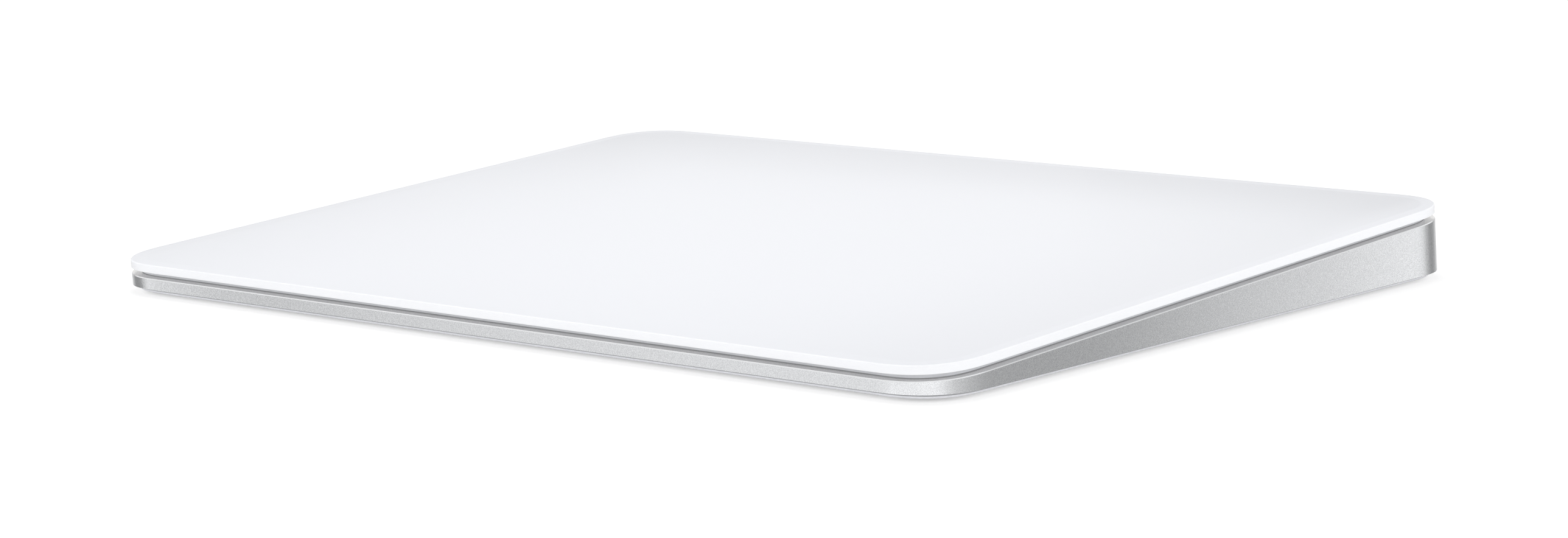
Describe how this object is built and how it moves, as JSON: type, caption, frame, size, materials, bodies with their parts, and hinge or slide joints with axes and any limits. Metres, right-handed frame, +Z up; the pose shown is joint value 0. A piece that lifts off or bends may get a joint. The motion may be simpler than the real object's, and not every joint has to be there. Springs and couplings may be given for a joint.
{
  "type": "trackpad",
  "caption": "Wedge-shaped desktop trackpad: a white glass touch plate floating on force beams over an aluminium frame, with haptic engine, battery, charge port and power switch.",
  "frame": {"origin": "middle of the footprint, on the surface that the feet stand on", "axes": "+X to the user's right along the long side, +Y away from the user towards the thick edge with the port, +Z up"},
  "size_m": [0.16, 0.1148, 0.0109],
  "materials": {
    "alu": "bead-blasted anodised aluminium",
    "base_plastic": "fine satin moulded plastic",
    "foot_rubber": "soft matt pad",
    "adhesive": "thin adhesive film",
    "white_glass": "satin etched glass with a white coating under it",
    "carrier_plastic": "smooth moulded plastic",
    "board": "solder resist over copper tracks",
    "steel": "brushed sheet steel",
    "screw_steel": "bright plated steel",
    "chip": "black moulded epoxy",
    "gel": "clear tinted gel",
    "gauge": "etched metal foil",
    "flex": "amber polyimide over copper",
    "core": "stacked laminations",
    "copper": "enamelled copper winding",
    "cell": "dark laminated pouch",
    "shield": "tinned sheet",
    "black_plastic": "black moulded plastic",
    "white_plastic": "white moulded plastic",
    "gold": "gold plated contact",
    "knob": "satin aluminium-coloured knob",
    "marker_green": "green marker film"
  },
  "bodies": {
    "housing": {"wedge_frame": "alu", "base_plate": "base_plastic", "base_film": "adhesive", "base_feet": "foot_rubber", "force_beam_front_left": "steel", "force_beam_front_right": "steel", "force_beam_rear_left": "steel", "force_beam_rear_right": "steel", "strain_gauges": "gauge", "gauge_tails": "flex", "beam_screws": "screw_steel", "haptic_bracket": "steel", "left_yoke": "core", "right_yoke": "core", "left_coil": "copper", "right_coil": "copper", "haptic_screws": "screw_steel", "coil_flex": "flex", "coil_plug": "black_plastic", "battery_cell": "cell", "battery_strips": "adhesive", "battery_circuit": "board", "battery_flex": "flex", "battery_plug": "white_plastic", "logic_board": "board", "board_chips": "chip", "radio_shield": "shield", "logic_socket": "black_plastic", "sensor_flex": "flex", "board_screws": "screw_steel", "antenna_holder": "white_plastic", "antenna_flex": "flex", "port_shell": "screw_steel", "port_tongue": "black_plastic", "port_contacts": "gold", "port_clamp": "shield", "port_screws": "screw_steel", "switch_body": "shield", "switch_guide": "shield", "switch_screws": "screw_steel"},
    "load_points": {"gel_pads": "gel", "load_buttons": "screw_steel"},
    "touch_plate": {"touch_glass": "white_glass", "glass_bond": "adhesive", "plate_carrier": "carrier_plastic", "sensor_board": "board", "plate_stiffener": "steel", "touch_chips": "chip", "sensor_socket": "black_plastic", "armature": "core", "armature_screws": "screw_steel"},
    "power_switch": {"power_knob": "knob", "on_marker": "marker_green", "switch_lever": "black_plastic"}
  },
  "joints": [
    {"name": "plate_press", "type": "slide", "parent": "housing", "child": "load_points", "axis": [0, 0.0524, -0.9986], "range_m": [0, 0.00015], "stiffness_N_per_m": 20000, "springref_m": -0.0001, "deforming": ["force_beam_front_left", "force_beam_front_right", "force_beam_rear_left", "force_beam_rear_right", "gauge_tails", "sensor_flex"]},
    {"name": "haptic_shift", "type": "slide", "parent": "load_points", "child": "touch_plate", "axis": [1, 0, 0], "range_m": [-0.0001, 0.0001], "stiffness_N_per_m": 15000, "deforming": ["gauge_tails", "sensor_flex"]},
    {"name": "power_slide", "type": "slide", "parent": "housing", "child": "power_switch", "axis": [1, 0, 0], "range_m": [0, 0.0024]}
  ]
}
